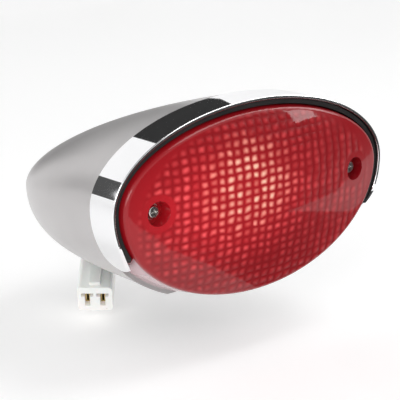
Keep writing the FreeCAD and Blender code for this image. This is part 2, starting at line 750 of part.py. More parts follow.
def carrier_spring():
    """Coil spring between the carrier and the socket's closed end."""
    front = carrier_front() + CARRIER_THICK + SPRING_WIRE_R + SPRING_SEAT_GAP
    back = SOCKET_BACK - SOCKET_WALL - SPRING_WIRE_R - SPRING_SEAT_GAP
    whole_turn = 2 * math.pi * SPRING_TURNS
    rise = (back - front) / whole_turn

    def on_coil(share):
        angle = whole_turn * share
        x = SPRING_COIL_R * math.cos(angle)
        z = SPRING_COIL_R * math.sin(angle)
        return V(x, at(front) + rise * angle, bulb_z() + z)

    arcs = []
    for k in range(SPRING_ARCS):
        begin = on_coil(k / SPRING_ARCS)
        middle = on_coil((k + 0.5) / SPRING_ARCS)
        end = on_coil((k + 1) / SPRING_ARCS)
        arcs.append(Part.Arc(begin, middle, end).toShape())
    ring = Part.makeCircle(SPRING_WIRE_R, on_coil(0), V(0, rise, SPRING_COIL_R))
    mitred = 1
    return Part.Wire(arcs).makePipeShell([Part.Wire([ring])], True, False, mitred)


def socket_boot():
    """Rubber boot over the socket's rear end, with a nose for the lead."""
    z = bulb_z()
    inner = CAP_R + SOCKET_GAP + SOCKET_WALL
    nose_back = INNER_ROUTE[0][1] + FRONT
    cup_back = nose_back - BOOT_NOSE_LENGTH
    points = [
        (SLEEVE_R, SOCKET_BACK),
        (inner, SOCKET_BACK),
        (inner, BOOT_FRONT),
        (inner + BOOT_WALL, BOOT_FRONT),
        (inner + BOOT_WALL, SOCKET_BACK),
        (SLEEVE_R + 2 * BOOT_WALL, cup_back),
        (SLEEVE_R + BOOT_WALL, nose_back),
        (SLEEVE_R, nose_back),
    ]
    return turned(points, z)


# ---------------------------------------------------------------- mounting
def pad_form(grow, z_low, z_high):
    return rounded_plate(PAD_HALF_WIDTH + grow, PAD_HALF_LENGTH + grow, PAD_CORNER + grow, z_low, z_high)


def base_pad():
    pad = pad_form(0, 0, PAD_THICK)
    for y in (-BOLT_SPACING / 2, BOLT_SPACING / 2):
        pad = pad.cut(drill(0, y, 0, PAD_THICK, BOLT_CLEAR_R + PAD_HOLE_EXTRA))
    return pad


def plate_bottom():
    return PAD_PROUD + FLOOR_THICK


def mount_plate():
    bottom = plate_bottom()
    plate = rounded_plate(PLATE_HALF_WIDTH, PLATE_HALF_LENGTH, PLATE_CORNER, bottom, bottom + PLATE_THICK)
    for y in (-BOLT_SPACING / 2, BOLT_SPACING / 2):
        plate = plate.cut(drill(0, y, bottom, bottom + PLATE_THICK, BOLT_CLEAR_R - PLATE_HOLE_LESS))
    for x in (-FIX_X, FIX_X):
        plate = plate.cut(drill(x, 0, bottom, bottom + PLATE_THICK, FIX_R))
    return plate


def weld_nuts():
    bottom = plate_bottom() + PLATE_THICK
    across_corners = NUT_FLATS / math.cos(math.pi / 6)
    nuts = []
    for y in (-BOLT_SPACING / 2, BOLT_SPACING / 2):
        corners = []
        for i in range(6):
            angle = math.radians(60 * i)
            corners.append(V(across_corners / 2 * math.cos(angle), y + across_corners / 2 * math.sin(angle), bottom))
        hexagon = Part.Face(Part.makePolygon(corners + corners[:1])).extrude(V(0, 0, NUT_HEIGHT))
        nuts.append(hexagon.cut(drill(0, y, bottom, bottom + NUT_HEIGHT, THREAD_R)))
    return group(nuts)


def plate_screws():
    """Two pan-head screws that hold the plate to the shell's floor."""
    top = plate_bottom() + PLATE_THICK
    pieces = []
    for x in (-FIX_X, FIX_X):
        shank = drill(x, 0, PAD_THICK, top, FIX_R)
        head = drill(x, 0, top, top + FIX_HEAD_HEIGHT, FIX_HEAD_R)
        crown = [e for e in head.Edges if abs(e.CenterOfMass.z - top - FIX_HEAD_HEIGHT) < 1e-6]
        pieces.append(shank.fuse(head.makeFillet(FIX_HEAD_ROUND, crown)))
    return group(pieces)


def lead_grommet():
    bottom = PAD_PROUD
    top = bottom + FLOOR_THICK
    body = drill(GROMMET_X, GROMMET_Y, bottom - GROMMET_LIP, top + GROMMET_LIP, GROMMET_HOLE_R)
    body = body.fuse(drill(GROMMET_X, GROMMET_Y, bottom - GROMMET_LIP, bottom, GROMMET_FLANGE_R))
    body = body.fuse(drill(GROMMET_X, GROMMET_Y, top, top + GROMMET_LIP, GROMMET_FLANGE_R))
    return body.cut(drill(GROMMET_X, GROMMET_Y, bottom - 5, top + 5, SLEEVE_R + GROMMET_BORE_GAP))


# ---------------------------------------------------------------- lead and connector
def connector_place():
    """Local frame of the connector: x across, y from its open face to its wires, z up its side."""
    place = FreeCAD.Placement()
    place.Rotation = FreeCAD.Rotation(V(0, 0, 1), -CONNECTOR_TURN).multiply(
        FreeCAD.Rotation(V(1, 0, 0), CONNECTOR_DIP))
    place.Base = CONNECTOR_FACE
    return place


def placed(shape):
    place = connector_place()
    moved = shape.copy()
    moved.Placement = place.multiply(moved.Placement)
    return moved


def cavity(x, shrink, front, back):
    """T-shaped cavity, or with a shrink, the form of what fits in it."""
    bar_wide, bar_high = CAVITY_BAR
    stem_wide, stem_high = CAVITY_STEM
    bar = Part.makeBox(bar_wide - 2 * shrink, back - front, bar_high - 2 * shrink,
                       V(x - bar_wide / 2 + shrink, front, CAVITY_TOP - bar_high + shrink))
    stem = Part.makeBox(stem_wide - 2 * shrink, back - front, stem_high - 2 * shrink,
                        V(x - stem_wide / 2 + shrink, front, CAVITY_TOP - stem_high + shrink))
    return bar.fuse(stem)


def connector_housing():
    half_w, half_h = CONNECTOR_WIDTH / 2, CONNECTOR_HEIGHT / 2
    block = Part.makeBox(CONNECTOR_WIDTH, CONNECTOR_LENGTH, CONNECTOR_HEIGHT, V(-half_w, 0, -half_h))
    long_edges = [e for e in block.Edges if e.BoundBox.YLength > CONNECTOR_LENGTH / 2]
    block = block.makeFillet(CONNECTOR_ROUND, long_edges)
    for x in (-CAVITY_PITCH / 2, CAVITY_PITCH / 2):
        block = block.cut(cavity(x, 0, 0, CAVITY_DEPTH))
        block = block.cut(Part.makeCylinder(WIRE_R + WIRE_HOLE_GAP, CONNECTOR_LENGTH, V(x, 1, 0), V(0, 1, 0)))
    wide, long, high = LATCH
    latch = Part.makeBox(wide, long, high, V(-wide / 2, LATCH_BACK, half_h))
    return placed(block.fuse(latch).removeSplitter())


def connector_terminals():
    """Two flat-bladed receptacles, each a folded strip inside its cavity."""
    pieces = []
    for x in (-CAVITY_PITCH / 2, CAVITY_PITCH / 2):
        inner = cavity(x, TERMINAL_GAP + TERMINAL_THICK, TERMINAL_BACK, TERMINAL_END - TERMINAL_THICK)
        outer = cavity(x, TERMINAL_GAP, TERMINAL_BACK, TERMINAL_END)
        pieces.append(placed(outer.cut(inner)))
    return group(pieces)


def lead_wires():
    """The sleeve's two wires where they leave it and enter the connector."""
    pieces = []
    for x in (-WIRE_GAP / 2, WIRE_GAP / 2):
        side = CAVITY_PITCH / 2 if x > 0 else -CAVITY_PITCH / 2
        end = V(side, CONNECTOR_LENGTH - WIRE_SEAT, 0)
        far = V(x, CONNECTOR_LENGTH + WIRE_LENGTH, 0)
        near = V(side, CONNECTOR_LENGTH + WIRE_KNEE, 0)
        run = Part.makeCylinder(WIRE_R, (far - near).Length, near, far - near)
        stub = Part.makeCylinder(WIRE_R, (near - end).Length, end, near - end)
        ball = Part.makeSphere(WIRE_R, near)
        pieces.append(placed(run.fuse(stub).fuse(ball)))
    return group(pieces)


def lead_end():
    """Where the free sleeve ends: on the connector's axis, a wire's length behind it."""
    return connector_place().multVec(V(0, CONNECTOR_LENGTH + WIRE_LENGTH, 0))


def lead_inner():
    return sleeve_along("lead_inner", INNER_ROUTE)


def lead_sleeve():
    end = lead_end()
    return sleeve_along("lead_sleeve", FREE_ROUTE + [(end.x, end.y, end.z)])


PIECES = {
    "housing_shell": housing_shell,
    "chrome_bezel": chrome_bezel,
    "red_lens": red_lens,
    "plate_window": plate_window,
    "lens_gasket": lens_gasket,
    "lens_screw_left": lambda: lens_screw(-1),
    "lens_screw_right": lambda: lens_screw(1),
    "screw_washers": screw_washers,
    "reflector": reflector,
    "socket_shell": socket_shell,
    "socket_rivets": socket_rivets,
    "socket_boot": socket_boot,
    "contact_carrier": contact_carrier,
    "contact_plungers": contact_plungers,
    "carrier_spring": carrier_spring,
    "bulb_glass": bulb_glass,
    "bulb_cap": bulb_cap,
    "bulb_insulator": bulb_insulator,
    "bulb_contacts": bulb_contacts,
    "bulb_stem": bulb_stem,
    "bulb_posts": bulb_posts,
    "bulb_filaments": bulb_filaments,
    "base_pad": base_pad,
    "mount_plate": mount_plate,
    "weld_nuts": weld_nuts,
    "plate_screws": plate_screws,
    "lead_grommet": lead_grommet,
    "lead_inner": lead_inner,
    "lead_sleeve": lead_sleeve,
    "lead_wires": lead_wires,
    "connector_housing": connector_housing,
    "connector_terminals": connector_terminals,
}


def main():
    os.makedirs("parts", exist_ok=True)
    for name, make in PIECES.items():
        shape = make()
        box = shape.BoundBox
        print(name, "solids", len(shape.Solids), "valid", shape.isValid(), "volume", round(shape.Volume),
              "x %.1f %.1f y %.1f %.1f z %.1f %.1f" % (box.XMin, box.XMax, box.YMin, box.YMax, box.ZMin, box.ZMax))
        shape.exportStep("parts/%s.step" % name)


main()
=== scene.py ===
# %% [markdown]
# A cat-eye tail light in Blender. The hard parts come ready made and placed from the CAD model,
# so this lesson is about the looks: finishes for each part, the soft lead, the pillow pattern inside
# the lens with its glow painted into the colour, and a small white room round it all.

# %% Load the fixed frame
import bpy
import math
from mathutils import Matrix, Vector


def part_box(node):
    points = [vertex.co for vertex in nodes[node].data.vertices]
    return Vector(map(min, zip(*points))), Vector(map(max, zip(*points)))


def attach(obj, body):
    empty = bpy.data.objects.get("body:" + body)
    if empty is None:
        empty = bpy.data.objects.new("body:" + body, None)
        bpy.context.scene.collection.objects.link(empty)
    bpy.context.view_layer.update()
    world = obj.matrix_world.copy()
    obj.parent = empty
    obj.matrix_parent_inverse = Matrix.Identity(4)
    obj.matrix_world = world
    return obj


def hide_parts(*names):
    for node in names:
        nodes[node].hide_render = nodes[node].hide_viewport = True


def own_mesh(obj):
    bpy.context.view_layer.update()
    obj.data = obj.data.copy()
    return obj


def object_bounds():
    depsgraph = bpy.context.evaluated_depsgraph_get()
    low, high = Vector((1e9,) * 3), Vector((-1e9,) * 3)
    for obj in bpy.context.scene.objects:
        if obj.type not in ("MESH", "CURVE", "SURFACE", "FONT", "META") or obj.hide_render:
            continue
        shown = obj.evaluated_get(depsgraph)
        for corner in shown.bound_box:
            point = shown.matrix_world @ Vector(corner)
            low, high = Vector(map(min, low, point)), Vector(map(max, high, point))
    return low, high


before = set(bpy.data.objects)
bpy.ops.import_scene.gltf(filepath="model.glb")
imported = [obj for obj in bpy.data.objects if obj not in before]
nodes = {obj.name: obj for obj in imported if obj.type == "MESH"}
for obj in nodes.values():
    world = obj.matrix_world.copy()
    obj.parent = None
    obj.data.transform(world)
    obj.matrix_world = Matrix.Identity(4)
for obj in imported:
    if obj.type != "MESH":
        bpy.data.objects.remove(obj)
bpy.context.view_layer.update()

# %% [markdown]
# Everything is placed from the bezel and the lens. The bezel's front edge is a plane that faces
# -Y, and the lens centre lies in that plane, a known drop below the bezel's top. Working from
# two measured boxes keeps every later number tied to the real parts.

# %% Landmarks
BEZEL_TOP_ABOVE_LENS_CENTRE = 0.0374
bezel_low, bezel_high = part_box("chrome_bezel")
LENS_CENTRE = Vector((0, bezel_low.y, bezel_high.z - BEZEL_TOP_ABOVE_LENS_CENTRE))
print("lens centre in mm", [round(1000 * v, 1) for v in LENS_CENTRE])

# %% [markdown]
# The camera looks at the light from its left and a little above, through a long lens, as in a
# parts catalogue. Its three axes are written as directions, because a rotation made from axes
# never needs a "which way is up" correction. The long lens keeps the oval true.

# %% Camera
CAMERA_BACK = Vector((-0.6118, -0.7400, 0.2793)).normalized()
CAMERA_RIGHT = Vector((0.7707, -0.6372, 0)).normalized()
CAMERA_UP = CAMERA_BACK.cross(CAMERA_RIGHT)
CAMERA_DISTANCE = 0.5965
CAMERA_SLIDE = (0.02396, 0.00615)   # left and down, so that the whole light is framed
FOCAL_LENGTH = 127.8                # in mm, on a sensor 36 mm wide
SENSOR_WIDTH = 36

camera_data = bpy.data.cameras.new("studio_camera")
camera_data.lens = FOCAL_LENGTH
camera_data.sensor_width = SENSOR_WIDTH
camera_data.clip_start = 0.01
camera = bpy.data.objects.new("studio_camera", camera_data)
place = LENS_CENTRE + CAMERA_BACK * CAMERA_DISTANCE
place = place - CAMERA_RIGHT * CAMERA_SLIDE[0] - CAMERA_UP * CAMERA_SLIDE[1]
turn = Matrix((CAMERA_RIGHT, CAMERA_UP, CAMERA_BACK)).transposed()
camera.matrix_world = Matrix.Translation(place) @ turn.to_4x4()
bpy.context.scene.collection.objects.link(camera)
bpy.context.scene.camera = camera
print("camera at", [round(v, 3) for v in place])

# %% [markdown]
# The lead is a soft sleeve over two wires. It hangs out of the rubber grommet, drops in a loose
# loop and comes back into the connector. A hanging sleeve has no straight bits, so it is one
# NURBS spline: its control points pull the line towards them and never make a kink. The order
# is set after the points exist, because an empty spline forgets it. The points repeat the CAD
# route, whose inner points came out of a numeric search for a loop with no tight bend.
#
# The finished curve is then turned into a mesh. Every point of a curve has a radius of one metre
# until told otherwise, and Blender counts it in the curve's box, so a box read from the curve
# would be far too big.

# %% The free lead
def meshed(curve_object):
    """The mesh that Blender would draw for a curve."""
    graph = bpy.context.evaluated_depsgraph_get()
    return bpy.data.meshes.new_from_object(curve_object.evaluated_get(graph))


def as_mesh_piece(curve_object):
    """Swaps a curve for a mesh piece of the same name, and returns the piece."""
    name = curve_object.name
    mesh = meshed(curve_object)
    bpy.data.objects.remove(curve_object)
    for polygon in mesh.polygons:
        polygon.use_smooth = True
    piece = bpy.data.objects.new(name, mesh)
    bpy.context.scene.collection.objects.link(piece)
    return piece


LEAD_POINTS = [
    (-0.0165, 0.0375, 0.004),
    (-0.0165, 0.0375, -0.005),
    (-0.0225, 0.0423, -0.0144),
    (-0.0142, 0.0520, -0.0295),
    (-0.0048, 0.0639, -0.0245),
    (-0.0022, 0.0657, -0.0117),
    (-0.0046, 0.0562, -0.0028),
    (-0.0102, 0.0448, -0.0062),
    (-0.01481, 0.03989, -0.01071),
]
SLEEVE_DIAMETER = 0.0035


def soft_line(name, points, diameter):
    """A round cord along a smooth NURBS line, and the points of that line."""
    curve = bpy.data.curves.new(name, "CURVE")
    curve.dimensions = "3D"
    spline = curve.splines.new("NURBS")
    spline.points.add(len(points) - 1)
    for control, point in zip(spline.points, points):
        control.co = (*point, 1)
    spline.order_u = 3
    spline.use_endpoint_u = True
    spline.resolution_u = 16
    route = bpy.data.objects.new(name, curve)
    bpy.context.scene.collection.objects.link(route)
    line = [vertex.co.copy() for vertex in meshed(route).vertices]
    curve.bevel_depth = diameter / 2
    curve.bevel_resolution = 6
    curve.use_fill_caps = True
    bpy.context.view_layer.update()
    return as_mesh_piece(route), line


lead, lead_line = soft_line("lead_flex", LEAD_POINTS, SLEEVE_DIAMETER)
lead_length = sum((b - a).length for a, b in zip(lead_line, lead_line[1:]))
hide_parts("lead_sleeve")
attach(lead, "housing")
print("lead line", round(1000 * lead_length), "mm")

# %% [markdown]
# A material is a small network of nodes. These helpers keep the networks readable: one adds a
# node, one adds a link, and one starts a material with its Principled shader. Values that are
# the same all over a surface are typed straight into the shader.

# %% Helpers for finishes
def add_node(tree, kind, **settings):
    node = tree.nodes.new(kind)
    for key, value in settings.items():
        setattr(node, key, value)
    return node


def join(tree, source, target):
    tree.links.new(source, target)


def start_finish(name, **uniform):
    """A new material and its Principled shader, with the uniform values set on the shader."""
    material = bpy.data.materials.new(name)
    material.use_nodes = True
    tree = material.node_tree
    tree.nodes.clear()
    output = add_node(tree, "ShaderNodeOutputMaterial")
    shader = add_node(tree, "ShaderNodeBsdfPrincipled")
    join(tree, shader.outputs["BSDF"], output.inputs["Surface"])
    for key, value in uniform.items():
        shader.inputs[key.replace("_", " ").title().replace("Ior", "IOR")].default_value = value
    return material, tree, shader


def new_group(name, inputs, outputs):
    """An empty shader group with named sockets; returns the group and its two ends."""
    group = bpy.data.node_groups.new(name, "ShaderNodeTree")
    for label, kind, value in inputs:
        socket = group.interface.new_socket(name=label, in_out="INPUT", socket_type=kind)
        socket.default_value = value
    for label, kind in outputs:
        group.interface.new_socket(name=label, in_out="OUTPUT", socket_type=kind)
    start = group.nodes.new("NodeGroupInput")
    end = group.nodes.new("NodeGroupOutput")
    return group, start, end


def math_node(tree, operation, first, second=None, third=None):
    node = add_node(tree, "ShaderNodeMath", operation=operation)
    for slot_number, value in enumerate((first, second, third)):
        if value is None:
            continue
        if isinstance(value, (int, float)):
            node.inputs[slot_number].default_value = value
        else:
            join(tree, value, node.inputs[slot_number])
    return node.outputs[0]


def mix_colours(tree, share, first, second):
    node = add_node(tree, "ShaderNodeMix", data_type="RGBA")
    for socket, value in ((node.inputs[0], share), (node.inputs[6], first), (node.inputs[7], second)):
        if hasattr(value, "default_value"):
            join(tree, value, socket)
        else:
            socket.default_value = value
    return node.outputs[2]


def place_group(tree, group, coordinates=None, **values):
    node = add_node(tree, "ShaderNodeGroup")
    node.node_tree = group
    if coordinates is not None:
        join(tree, coordinates, node.inputs["Where"])
    for key, value in values.items():
        node.inputs[key.replace("_", " ")].default_value = value
    return node


def object_coordinates(tree):
    return add_node(tree, "ShaderNodeTexCoord").outputs["Object"]


def add_bump(tree, shader, height, strength, distance):
    bump = add_node(tree, "ShaderNodeBump")
    bump.inputs["Strength"].default_value = strength
    bump.inputs["Distance"].default_value = distance
    join(tree, height, bump.inputs["Height"])
    join(tree, bump.outputs["Normal"], shader.inputs["Normal"])


print("helpers ready")

# %% [markdown]
# No real surface has one colour all over. Paint, rubber and plated steel all vary in two ways:
# broad soft clouds from handling and a fine grain from how they were made. One group gives both
# to every finish: a colour that drifts between two tones, a roughness that follows the same
# clouds, and a height for a bump.

# %% Shared group: clouds and grain
GRAIN_SHARE = 0.35   # the rest comes from the clouds
clouds_and_grain, ends_in, ends_out = new_group(
    "clouds_and_grain",
    [("Where", "NodeSocketVector", (0, 0, 0)),
     ("Cloud Scale", "NodeSocketFloat", 40.0),
     ("Grain Scale", "NodeSocketFloat", 900.0),
     ("Tone", "NodeSocketColor", (0.5, 0.5, 0.5, 1)),
     ("Other Tone", "NodeSocketColor", (0.4, 0.4, 0.4, 1)),
     ("Smooth", "NodeSocketFloat", 0.3),
     ("Rough", "NodeSocketFloat", 0.5)],
    [("Colour", "NodeSocketColor"), ("Roughness", "NodeSocketFloat"), ("Height", "NodeSocketFloat")])
g = clouds_and_grain
cloud = add_node(g, "ShaderNodeTexNoise")
cloud.inputs["Detail"].default_value = 4
join(g, ends_in.outputs["Where"], cloud.inputs["Vector"])
join(g, ends_in.outputs["Cloud Scale"], cloud.inputs["Scale"])
grain = add_node(g, "ShaderNodeTexNoise")
grain.inputs["Detail"].default_value = 2
join(g, ends_in.outputs["Where"], grain.inputs["Vector"])
join(g, ends_in.outputs["Grain Scale"], grain.inputs["Scale"])
wide = add_node(g, "ShaderNodeMapRange")
wide.inputs["From Min"].default_value = 0.35
wide.inputs["From Max"].default_value = 0.65
join(g, cloud.outputs["Fac"], wide.inputs["Value"])
clouds = math_node(g, "MULTIPLY", wide.outputs[0], 1 - GRAIN_SHARE)
both = math_node(g, "MULTIPLY_ADD", grain.outputs["Fac"], GRAIN_SHARE, clouds)
tint = mix_colours(g, both, ends_in.outputs["Tone"], ends_in.outputs["Other Tone"])
join(g, tint, ends_out.inputs["Colour"])
spread = math_node(g, "SUBTRACT", ends_in.outputs["Rough"], ends_in.outputs["Smooth"])
gloss = math_node(g, "MULTIPLY_ADD", both, spread, ends_in.outputs["Smooth"])
join(g, gloss, ends_out.inputs["Roughness"])
join(g, grain.outputs["Fac"], ends_out.inputs["Height"])
print("group", g.name, "has", len(g.nodes), "nodes")

# %% [markdown]
# Handled parts also carry a few dust specks and rubbed spots. Voronoi cells give scattered
# points: a cell whose distance to its centre is tiny is a speck. Only some cells pass, so the
# specks look accidental.

# %% Shared group: specks
SPECK_LUCK = 0.72   # a cell keeps its speck when its own random value is above this
specks, ends_in, ends_out = new_group(
    "specks",
    [("Where", "NodeSocketVector", (0, 0, 0)),
     ("Scale", "NodeSocketFloat", 220.0),
     ("Size", "NodeSocketFloat", 0.1)],
    [("Mask", "NodeSocketFloat")])
g = specks
cells = add_node(g, "ShaderNodeTexVoronoi")
join(g, ends_in.outputs["Where"], cells.inputs["Vector"])
join(g, ends_in.outputs["Scale"], cells.inputs["Scale"])
near = math_node(g, "LESS_THAN", cells.outputs["Distance"], ends_in.outputs["Size"])
lucky = add_node(g, "ShaderNodeSeparateColor")
join(g, cells.outputs["Color"], lucky.inputs[0])
some = math_node(g, "GREATER_THAN", lucky.outputs[0], SPECK_LUCK)
join(g, math_node(g, "MULTIPLY", near, some), ends_out.inputs["Mask"])
print("group", g.name, "has", len(g.nodes), "nodes")

# %% [markdown]
# Most parts share one recipe: clouds and grain in colour and roughness, a fine bump, and a few
# specks in a paler tone. The recipe is a function, so that each finish is a single line of
# values: its two tones, its roughness range, and how coarse its grain is.

# %% The everyday finish
def everyday_finish(name, tone, other, smooth, rough, cloud_scale=60.0, grain_scale=1500.0,
                    bump=0.08, speck_tone=None, speck_size=0.1, **uniform):
    material, tree, shader = start_finish(name, **uniform)
    where = object_coordinates(tree)
    body = place_group(tree, clouds_and_grain, where, Cloud_Scale=cloud_scale, Grain_Scale=grain_scale,
                       Tone=(*tone, 1), Other_Tone=(*other, 1), Smooth=smooth, Rough=rough)
    colour = body.outputs["Colour"]
    if speck_tone is not None:
        dots = place_group(tree, specks, where, Scale=240.0, Size=speck_size)
        colour = mix_colours(tree, dots.outputs["Mask"], colour, (*speck_tone, 1))
    join(tree, colour, shader.inputs["Base Color"])
    join(tree, body.outputs["Roughness"], shader.inputs["Roughness"])
    add_bump(tree, shader, body.outputs["Height"], bump, 0.0004)
    return material


def dress(material, *names):
    """Puts a finish on CAD nodes and smooths their shading, except over real edges."""
    for name in names:
        piece = nodes[name]
        piece.data.materials.clear()
        piece.data.materials.append(material)
        smooth_over(piece)


def smooth_over(piece, edge_degrees=32):
    for polygon in piece.data.polygons:
        polygon.use_smooth = True
    weld = piece.modifiers.new("join_faces", "WELD")
    weld.merge_threshold = 0.000002
    split = piece.modifiers.new("keep_edges", "EDGE_SPLIT")
    split.split_angle = math.radians(edge_degrees)
    even = piece.modifiers.new("even_shading", "WEIGHTED_NORMAL")
    even.keep_sharp = True


print("recipe ready")

# %% [markdown]
# The shell is a plastic moulding sprayed in satin silver. Silver paint is a clear binder full
# of tiny aluminium flakes, so it is partly metallic, its grain is very fine, and its highlights
# are broad. A thin clear coat gives the soft sheen on top.

# %% Silver shell
silver = everyday_finish("satin_silver_paint", (0.56, 0.54, 0.54), (0.50, 0.485, 0.485), 0.32, 0.40,
                         cloud_scale=18, grain_scale=5200, bump=0.05, metallic=0.85,
                         coat_weight=0.15, coat_roughness=0.25)
dress(silver, "housing_shell")
print("finish", silver.name, "on housing_shell")

# %% [markdown]
# The bezel is chrome plated. Chrome has almost no colour or texture of its own: it shows the
# room. What makes it look real is a slightly uneven reflection, from the bumps of the plastic
# or brass underneath, and a faint haze where fingers have been.

# %% Chrome bezel
chrome = everyday_finish("bright_chrome", (0.93, 0.93, 0.94), (0.90, 0.90, 0.91), 0.015, 0.05,
                         cloud_scale=30, grain_scale=120, bump=0.015, metallic=1.0)
dress(chrome, "chrome_bezel")
print("finish", chrome.name, "on chrome_bezel")

# %% [markdown]
# The lens is clear red acrylic. Its outside is smooth and glossy, but its inside is moulded into
# rows of little pillows that spread the bulb's light. One cell of that pattern repeats across
# and up, so it is built from two counters: the fraction of each gives the place inside a cell.
# The pillow pattern is a group because the colour and the bump both use it.

# %% Shared group: pillow optics
PILLOW_WIDTH = 0.0044
PILLOW_HEIGHT = 0.0035
pillows, ends_in, ends_out = new_group(
    "pillow_optics",
    [("Where", "NodeSocketVector", (0, 0, 0)),
     ("Across", "NodeSocketFloat", PILLOW_WIDTH),
     ("Up", "NodeSocketFloat", PILLOW_HEIGHT),
     ("Wander", "NodeSocketFloat", 0.1)],
    [("Height", "NodeSocketFloat"), ("Rib", "NodeSocketFloat"), ("Chance", "NodeSocketFloat")])
g = pillows
axes = add_node(g, "ShaderNodeSeparateXYZ")
join(g, ends_in.outputs["Where"], axes.inputs[0])
waver = add_node(g, "ShaderNodeTexNoise")
waver.inputs["Scale"].default_value = 160
join(g, ends_in.outputs["Where"], waver.inputs["Vector"])
centred = math_node(g, "SUBTRACT", waver.outputs["Fac"], 0.5)
push = math_node(g, "MULTIPLY", centred, ends_in.outputs["Wander"])
push = math_node(g, "MULTIPLY", push, 4.0)
count_x = math_node(g, "ADD", math_node(g, "DIVIDE", axes.outputs["X"], ends_in.outputs["Across"]), push)
count_z = math_node(g, "ADD", math_node(g, "DIVIDE", axes.outputs["Z"], ends_in.outputs["Up"]), push)


def hump(counter):
    """A round hump over each cell: 1 in its middle, and flat again where it meets the next."""
    place_in_cell = math_node(g, "SUBTRACT", math_node(g, "FRACT", counter), 0.5)
    squared = math_node(g, "MULTIPLY", place_in_cell, place_in_cell)
    arch = math_node(g, "MULTIPLY_ADD", squared, -4.0, 1.0)
    return math_node(g, "POWER", arch, 1.7)


rib = hump(count_x)
row = hump(count_z)
join(g, math_node(g, "MULTIPLY", rib, row), ends_out.inputs["Height"])
join(g, rib, ends_out.inputs["Rib"])
cell = add_node(g, "ShaderNodeCombineXYZ")
join(g, math_node(g, "FLOOR", count_x), cell.inputs[0])
join(g, math_node(g, "FLOOR", count_z), cell.inputs[1])
chance = add_node(g, "ShaderNodeTexWhiteNoise", noise_dimensions="3D")
join(g, cell.outputs[0], chance.inputs["Vector"])
join(g, chance.outputs["Value"], ends_out.inputs["Chance"])
print("group", g.name, "has", len(g.nodes), "nodes")

# %% [markdown]
# Through the red plastic each pillow shows as a bright grain with a dark edge. That light and
# shade is painted into the colour here. The grains are brightest in front of the reflector and fade
# to plain deep red at the rim and round the two screws, where the moulding has no pillows. So the
# colour is mixed four times: from a painted shade of dark red at the rim to a painted glow of
# brighter red in the middle, with painted shade in the grooves, painted glints on the pillows, and
# a painted hot pink glow of the reflector in the middle of the lens.

# %% Red lens
def distance_mask(tree, where, centre, half_size, inner, outer):
    """1 near a centre and 0 far from it, counted in half-sizes of an ellipse."""
    shift = add_node(tree, "ShaderNodeVectorMath", operation="SUBTRACT")
    join(tree, where, shift.inputs[0])
    shift.inputs[1].default_value = centre
    scale = add_node(tree, "ShaderNodeVectorMath", operation="DIVIDE")
    join(tree, shift.outputs[0], scale.inputs[0])
    scale.inputs[1].default_value = half_size
    length = add_node(tree, "ShaderNodeVectorMath", operation="LENGTH")
    join(tree, scale.outputs[0], length.inputs[0])
    fade = add_node(tree, "ShaderNodeMapRange", interpolation_type="SMOOTHSTEP")
    fade.inputs["From Min"].default_value = inner
    fade.inputs["From Max"].default_value = outer
    fade.inputs["To Min"].default_value = 1.0
    fade.inputs["To Max"].default_value = 0.0
    join(tree, length.outputs["Value"], fade.inputs["Value"])
    return fade.outputs[0]


left_low, left_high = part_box("lens_screw_left")
right_low, right_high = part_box("lens_screw_right")
LEFT_SCREW = (left_low + left_high) / 2
RIGHT_SCREW = (right_low + right_high) / 2
FAR = 1000.0   # a half-size this large takes an axis out of the distance
PLAIN_ROUND = (0.0085, FAR, 0.0085)   # the area without pillows round each screw
RIDGE_SHARE = 0.55    # how far the right end's pillows run together into upright ribs
# painted shade: how dark the grooves between pillows are painted
GROOVE_SHADE_SHARE = 0.50   # how dark the grooves between pillows get

red, tree, shader = start_finish("red_acrylic", roughness=0.28, transmission_weight=0.10,
                                 ior=1.49, coat_weight=0.5, coat_roughness=0.04,
                                 specular_ior_level=0.15)
where = object_coordinates(tree)
optics = place_group(tree, pillows, where, Wander=0.15)
ribbed = distance_mask(tree, where, (0.052, 0, LENS_CENTRE.z - 0.004), (0.040, FAR, 0.05), 0.55, 1.0)
rib_only = math_node(tree, "SUBTRACT", optics.outputs["Rib"], optics.outputs["Height"])
ridge = math_node(tree, "MULTIPLY", rib_only, RIDGE_SHARE)
grainy = math_node(tree, "MULTIPLY_ADD", ridge, ribbed, optics.outputs["Height"])
plain_left = distance_mask(tree, where, (LEFT_SCREW.x, 0, LEFT_SCREW.z), PLAIN_ROUND, 0.85, 1.05)
plain_right = distance_mask(tree, where, (RIGHT_SCREW.x, 0, RIGHT_SCREW.z), PLAIN_ROUND, 0.85, 1.05)
within = distance_mask(tree, where, (0, 0, LENS_CENTRE.z - 0.0067), (0.066, FAR, 0.040), 0.92, 1.0)
open_area = math_node(tree, "MULTIPLY", within, math_node(tree, "SUBTRACT", 1.0, plain_left))
open_area = math_node(tree, "MULTIPLY", open_area, math_node(tree, "SUBTRACT", 1.0, plain_right))
# painted highlight: how bright each pillow's painted glint is, with a random share per cell
peak = math_node(tree, "POWER", grainy, 1.5)
lit = math_node(tree, "MULTIPLY", peak, open_area)
luck = math_node(tree, "MULTIPLY_ADD", optics.outputs["Chance"], 1.3, 0.25)
painted_sparkle_level = math_node(tree, "MULTIPLY", lit, luck)
# painted light: a small mask for the hottest part of the reflector's glow through the lens
painted_hot_spot = distance_mask(tree, where, (-0.010, 0, LENS_CENTRE.z + 0.003), (0.030, FAR, 0.026), 0.05, 1.0)
# painted light: a wide mask for the reflector's glow through the lens, which makes the middle red brighter
painted_glow_mask = distance_mask(tree, where, (-0.022, 0, LENS_CENTRE.z - 0.002), (0.062, FAR, 0.036), 0.15, 1.0)
